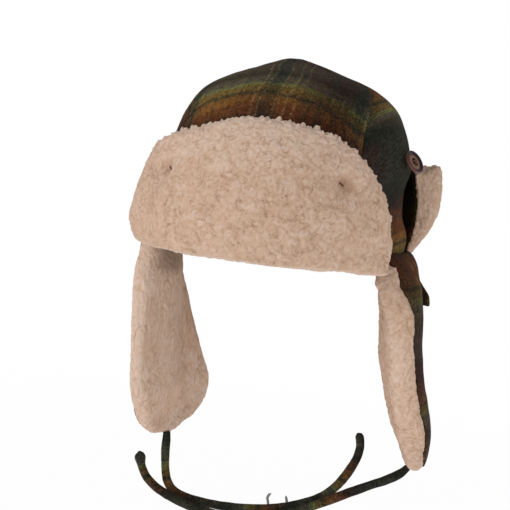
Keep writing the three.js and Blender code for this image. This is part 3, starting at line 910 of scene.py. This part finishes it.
def painted_side_light_and_shade(place, out):
    """Painted light along the front, where the pile faces forward, and painted shade high up at the back."""
    lit = 0.27 * ease(-0.2, 0.9, -out[:, 1])
    return lit - 0.4 * ease(-0.012, 0.03, place[:, 1]) * (1 - ease(0.07, 0.1, -place[:, 2]))


# Fleece: the pad's form cut into fine faces and raised into tufts of curled pile
CLEARANCE = 0.0003
FRINGE_LENGTH = 0.0032
CORNER_REACH = 0.012


def evened(mesh, value, times):
    """A value at each point, averaged with its neighbours over and over."""
    pairs = np.empty(2 * len(mesh.edges), int)
    mesh.edges.foreach_get("vertices", pairs)
    one, other = pairs[::2], pairs[1::2]
    size = len(value)
    around = np.maximum(np.bincount(pairs, minlength=size), 1)
    for _ in range(times):
        beside = np.bincount(one, value[other], size) + np.bincount(other, value[one], size)
        value = 0.5 * value + 0.5 * beside / around
    return value


def soft_form(name, node, grain, softenings, keep):
    """The pad's form in fine faces with its edges rounded; returns the piece, its points and its normals."""
    piece = new_piece(name, solid_copy(node), FLEECE, node)
    remesh = piece.modifiers.new("fine_faces", "REMESH")
    remesh.mode = "VOXEL"
    remesh.voxel_size = grain
    soften = piece.modifiers.new("soften", "SMOOTH")
    soften.factor = 0.5
    soften.iterations = softenings
    mesh = settle(piece)
    mesh.materials.clear()
    mesh.materials.append(FLEECE)
    place, out = points_of(mesh), normals_of(mesh)
    # Corners that the softening drew in come out again
    lost, back = nearest_of((node,), place, CORNER_REACH)
    lost = np.where(((back * out).sum(1) > 0) & (lost < CORNER_REACH), lost, 0.0)
    ends = np.maximum(ease(-0.03, -0.008, place[:, 2]), ease(-0.122, -0.138, place[:, 2]))
    kept = (keep + (0.95 - keep) * ends) * np.clip(lost - 0.0004, 0, 0.006)
    return piece, place + out * evened(mesh, kept, softenings // 6)[:, None], out


def curled(place, valley):
    """Rounded lumps with valleys between them, wider for a larger valley."""
    return np.sqrt(np.clip(np.abs(swirl(place)) / valley, 0, 1))


def fleece_pad(name, node, beside, grain, softenings, keep, depth, pale, fringe, shape,
               stretch=1.0, curl=1.0, tone=plain_tone):
    piece, place, out = soft_form(name, node, grain, softenings, keep)
    mesh = piece.data
    place = shape(place, out)
    place_points(mesh, place)
    out = normals_of(mesh)
    # Curled pile in lumps, swells and small tufts, with creases between
    grown = place * np.array((1, 1, stretch))
    bent = grown + np.stack([drift(grown / 0.009, k) for k in range(3)], 1) * 0.0024
    lumps = curled(bent / 0.0052, 0.4)
    curls = curled(bent / 0.0026 + 19.7, 0.4)
    tufts = swirl(bent / 0.0021 + 3.9)
    patchy = ease(-0.25, 0.35, swirl(grown / 0.011 + 5.1))
    swell = swirl(grown / 0.019 + 31.3)
    crease = patchy * (1 - curled(bent / 0.0085 + 47.3, 0.12))
    rise = 0.45 * lumps + 0.55 * curls * (0.45 + 0.55 * patchy) + 0.22 * tufts + 0.4 * swell
    rise = depth * (rise - 0.65 * crease - 0.5)
    # A fringe along the pad's edge
    aside = place[:, :2] / np.maximum(np.linalg.norm(place[:, :2], axis=1), 1e-6)[:, None]
    rim = 1 - ease(0.2, 0.75, np.abs((out[:, :2] * aside).sum(1)))
    spikes = swirl(place / 0.0027 + 7.7) + 0.6 * swirl(place / 0.0043 + 2.3) + 0.3 * swell
    rise += FRINGE_LENGTH * rim * fringe(place, out) * np.clip(spikes, 0, 0.9) ** 1.3
    # The pile stays clear of what it lies against
    gap, toward = nearest_of(beside, place, 0.005)
    facing = np.clip((toward * out).sum(1), 0, 1)
    rise = np.where(facing > 0.02, np.minimum(rise, (gap - CLEARANCE) / np.maximum(facing, 0.1)), rise)
    rise = np.where((facing > 0.6) & (gap < 0.003), np.clip(rise, -0.0004, 0.0), rise)
    place_points(mesh, place + out * rise[:, None])
    # Painted shade between the tufts, painted light at their tops and a painted pale rim of light along the edge
    shade = 0.24 + 0.26 * lumps + 0.34 * curls + 0.1 * swell + 0.1 * tufts - 0.38 * crease
    # pale: painted rim light along the pad's edge, fainter lower down
    shade += pale * rim * (1 - 0.7 * ease(0.06, 0.12, -place[:, 2])) + tone(place, out)
    paint(mesh, "painted_pile_shade", np.clip(shade, 0, 1))
    paint(mesh, "curl", np.full(len(place), curl))
    return piece


CROWN = ("crown_front_panel", "crown_back_panel", "crown_left_panel", "crown_right_panel")
EAR_FLEECE = ("ear_flap_left_fleece", "ear_flap_right_fleece")
FLAP_FLEECE = ("front_flap_fleece", "back_flap_fleece")
front_pile = fleece_pad(
    "front_flap_pile", "front_flap_fleece", CROWN + EAR_FLEECE + ("front_flap_shell",),
    grain=0.00082, softenings=10, keep=0.85, depth=0.0013, pale=0.38,
    fringe=above_rim, shape=front_corner, tone=painted_top_light)
fleece_pad(
    "back_flap_pile", "back_flap_fleece", CROWN + EAR_FLEECE + ("button_left", "button_right"),
    grain=0.00091, softenings=10, keep=0.85, depth=0.0013, pale=0.05,
    fringe=top_rim, shape=neck_corner)
left_top = full_top(LEFT, TIE_LEFT, inward=0.0065, outward=0.013, forward=0.0015,
                    belly=0.001, rounded=0.0072, bow=front_bow)
left_pile = fleece_pad(
    "ear_flap_left_pile", "ear_flap_left_fleece", CROWN + FLAP_FLEECE + ("ear_flap_left_shell",),
    grain=0.00069, softenings=324, keep=0.2, depth=0.001, pale=0.2,
    fringe=faint_rim, shape=left_top, stretch=0.7, curl=0.8)
place_points(left_pile.data, hung_in(points_of(left_pile.data)))
right_top = full_top(RIGHT, TIE_RIGHT, inward=0.002, outward=0.008, forward=0.003,
                     belly=0.0, rounded=0.0105, bow=middle_bow)
fleece_pad(
    "ear_flap_right_pile", "ear_flap_right_fleece", CROWN + FLAP_FLEECE + ("ear_flap_right_shell",),
    grain=0.00065, softenings=455, keep=0.1, depth=0.0009, pale=0.1,
    fringe=faint_rim, shape=right_top, stretch=0.5, curl=0.6, tone=painted_side_light_and_shade)


# Thread
STRAND_SIDES = 8


def strands(lines, width, tip=1.0):
    """A bmesh of strands along the given lines, drawn in to a share of the width at the tip."""
    bm = bmesh.new()
    for line in lines:
        far = np.linspace(0, 1, len(line))
        strand = tube(np.array(line), width * (1 - (1 - tip) * ease(0.75, 1.0, far)), STRAND_SIDES)
        part = mesh_of("strand", strand)
        bm.from_mesh(part)
        bpy.data.meshes.remove(part)
    return bm


# Buttons: a turned disc with a raised rim, four holes, thread and a shank. The profile is in millimetres
BUTTON_PROFILE = (
    (0.0, 0.0), (7.4, 0.0), (8.0, 0.25), (8.2, 0.7), (8.2, 1.9), (8.05, 2.35), (7.6, 2.6), (7.0, 2.55),
    (6.5, 2.35), (5.9, 1.75), (5.3, 1.5), (4.8, 1.5), (4.2, 1.8), (3.7, 1.9), (3.0, 1.8), (2.0, 1.5),
    (0.0, 1.4),
)
BUTTON_RADIUS = 0.0082
BUTTON_HALF = 0.0013
HOLE_OUT = 0.0017
HOLE_RADIUS = 0.0009


def turned_disc():
    bm = bmesh.new()
    made = [bm.verts.new((radius * MM, 0, height * MM)) for radius, height in BUTTON_PROFILE]
    edges = [bm.edges.new(pair) for pair in zip(made, made[1:])]
    bmesh.ops.spin(bm, geom=made + edges, cent=(0, 0, 0), axis=UP, angle=2 * math.pi, steps=48, use_merge=True)
    bmesh.ops.remove_doubles(bm, verts=bm.verts, dist=0.00001)
    bmesh.ops.recalc_face_normals(bm, faces=bm.faces)
    return bm


def drill_holes(piece):
    """Cuts the four holes; returns the new mesh."""
    holes = bmesh.new()
    for sx, sy in ((1, 1), (1, -1), (-1, 1), (-1, -1)):
        bmesh.ops.create_cone(
            holes, cap_ends=True, segments=16, radius1=HOLE_RADIUS, radius2=HOLE_RADIUS, depth=0.012,
            matrix=Matrix.Translation((sx * HOLE_OUT, sy * HOLE_OUT, 0)))
    drill = link_object("drill", mesh_of("drill", holes))
    cut = piece.modifiers.new("holes", "BOOLEAN")
    cut.operation = "DIFFERENCE"
    cut.object = drill
    cut.solver = "EXACT"
    mesh = settle(piece)
    bpy.data.objects.remove(drill)
    return mesh


def side_button(name, node, turned, tilted):
    low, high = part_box(node)
    facing = way_out(turned, tilted)
    middle = (low + high) / 2 - facing * BUTTON_HALF
    stand = Matrix.Translation(middle) @ UP.rotation_difference(facing).to_matrix().to_4x4()
    mesh = drill_holes(new_piece(name, turned_disc(), HORN, node))
    place = points_of(mesh)
    paint(mesh, "ring", np.hypot(place[:, 0], place[:, 1]) / BUTTON_RADIUS)
    mesh.transform(stand)
    # Thread across the holes
    arc = np.linspace(-1, 1, 9)
    height = 0.0015 + 0.0008 * (1 - arc ** 4)
    cross = strands([np.stack([arc * HOLE_OUT, side * arc * HOLE_OUT, height], 1) for side in (-1, 1)], 0.0011)
    bmesh.ops.transform(cross, matrix=stand, verts=cross.verts)
    new_piece(name + "_thread", cross, BROWN_THREAD)
    # A shank of thread from the button into the crown
    seat = neighbours_of(("crown_left_panel", "crown_right_panel")).find_nearest(middle)[0]
    shank = [middle + facing * 0.0006, (middle + seat) / 2, seat - (middle - seat).normalized() * 0.0006]
    new_piece(name + "_shank", strands([shank], 0.0026), BROWN_THREAD)


side_button("button_left_disc", "button_left", 62, 30)
side_button("button_right_disc", "button_right", -88, 6)

# Tacks on the front flap: degrees round from the forehead, millimetres up
FLAP_TACKS = ((31.8, 45.0), (-28.4, 43.0))
TACK_DEPTH = 0.0036
TACK_REACH, TACK_RISE, TACK_ARCH = 0.0014, 0.0009, 0.0006


def flap_tacks():
    """Short stitches that hold the front flap up, sunk in small hollows of the fleece that are darkened with
    painted shade.
    """
    mesh = front_pile.data
    place = points_of(mesh)
    tree = BVHTree.FromPolygons([Vector(p) for p in place], [tuple(f.vertices) for f in mesh.polygons])
    painted_pile_shade = mesh.attributes["painted_pile_shade"].data
    shade = np.empty(len(place))
    painted_pile_shade.foreach_get("value", shade)
    lines = []
    for turned, height in FLAP_TACKS:
        way = way_out(turned)
        hit = tree.ray_cast(way * 0.3 + UP * (height * MM), -way)[0]
        away = np.linalg.norm(place - np.array(hit), axis=1)
        place = place - np.array(way) * (0.0038 * hill(0, 0.0055, away))[:, None]
        # Painted shade in the hollow round each tack
        shade = shade * (1 - 0.6 * hill(0, 0.004, away))
        arc = np.linspace(-1, 1, 7)[:, None]
        along = TACK_REACH * np.array(way.cross(UP)) + TACK_RISE * np.array(UP)
        lines.append(np.array(hit - way * TACK_DEPTH) + arc * along + TACK_ARCH * (1 - arc * arc) * np.array(way))
    place_points(mesh, place)
    painted_pile_shade.foreach_set("value", shade)
    new_piece("front_flap_tacks", strands(lines, 0.0009), BROWN_THREAD)


flap_tacks()

# Two loose thread ends on the upper tie
LOOSE_ENDS = (
    ((0.0178, -0.01, -0.1838), (0.0172, -0.01, -0.1812), (0.0168, -0.0101, -0.1796),
     (0.0177, -0.0101, -0.1773), (0.019, -0.0101, -0.176)),
    ((0.0312, -0.01, -0.1815), (0.0306, -0.0101, -0.1785), (0.0298, -0.0102, -0.1756)),
)
loose_lines = [smooth_line(route, 0.0004)[0] for route in LOOSE_ENDS]
new_piece("tie_loose_threads", strands(loose_lines, 0.0019, tip=0.45), PALE_THREAD)

# Floor and light
FLOOR_RADIUS = 40
LAMP_SIZE = 0.9
LAMPS = (
    ("key_light", (-1.25, -0.95, 0.4), 10.4),
    ("fill_light", (0.95, -1.15, 0.05), 5.0),
)
ROOM_LIGHT = 0.44


def pale_floor():
    bm = bmesh.new()
    low = Matrix.Translation((0, 0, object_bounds()[0][2]))
    bmesh.ops.create_circle(bm, cap_ends=True, radius=FLOOR_RADIUS, segments=96, matrix=low)
    floor = link_object("pale_floor", mesh_of("pale_floor", bm))
    material, tree, shader = new_material("pale_floor")
    feed(tree, shader, {"Base Color": (0.9, 0.9, 0.9, 1), "Roughness": 0.9})
    # A faint shadow near the hat, and plain white further out
    away = put(tree, "ShaderNodeVectorMath", {0: on_object(tree)}, operation="LENGTH").outputs["Value"]
    glow = put(tree, "ShaderNodeEmission", {"Color": WHITE, "Strength": 1.0})
    mixed = put(tree, "ShaderNodeMixShader", {
        0: spread(tree, away, 0.2, 0.7, 0.975, 1.0),
        1: shader.outputs["BSDF"],
        2: glow.outputs["Emission"],
    })
    feed(tree, tree.nodes["Material Output"], {"Surface": mixed.outputs["Shader"]})
    floor.data.materials.append(material)
    floor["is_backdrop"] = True


def soft_room():
    """A room that looks white to the camera and lights the hat more softly, and two lamps."""
    world = bpy.data.worlds.new("soft_room")
    scene.world = world
    world.use_nodes = True
    sky = world.node_tree
    seen = put(sky, "ShaderNodeLightPath").outputs["Is Camera Ray"]
    strength = sums(sky, "MULTIPLY_ADD", seen, 1 - ROOM_LIGHT, ROOM_LIGHT)
    feed(sky, sky.nodes["Background"], {"Strength": strength, "Color": WHITE})
    for name, where, energy in LAMPS:
        lamp = bpy.data.lights.new(name, "AREA")
        lamp.size = LAMP_SIZE
        lamp.energy = energy
        stand = link_object(name, lamp)
        stand.location = where
        stand.rotation_euler = (-Vector(where)).to_track_quat("-Z", "Y").to_euler()


pale_floor()
soft_room()
